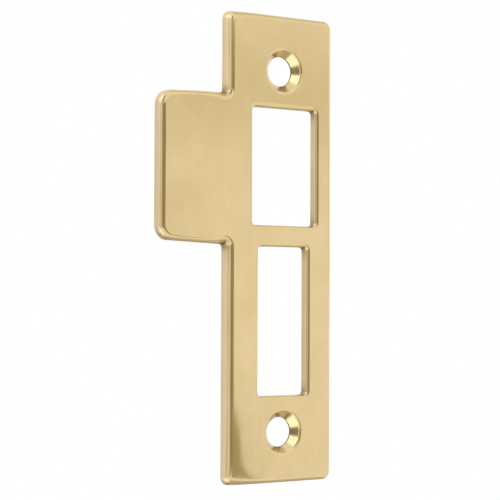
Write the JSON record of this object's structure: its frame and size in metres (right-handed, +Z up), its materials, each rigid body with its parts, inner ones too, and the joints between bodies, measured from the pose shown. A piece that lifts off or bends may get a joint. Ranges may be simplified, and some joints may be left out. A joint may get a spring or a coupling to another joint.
{
  "type": "door strike plate",
  "caption": "Flat polished brass door strike plate with a side lip, rectangular latch and dead bolt openings, and countersunk screw holes at its ends.",
  "frame": {"origin": "on the back face, which lies against the door jamb, on the line of the screw holes, in the middle of the web between the two openings", "axes": "+Z up along the plate, latch opening above bolt opening; front face towards -Y; lip towards -X"},
  "size_m": [0.0419, 0.0021, 0.0924],
  "materials": {
    "brass": "polished"
  },
  "bodies": {
    "root": {"strike_plate": "brass"}
  },
  "joints": []
}
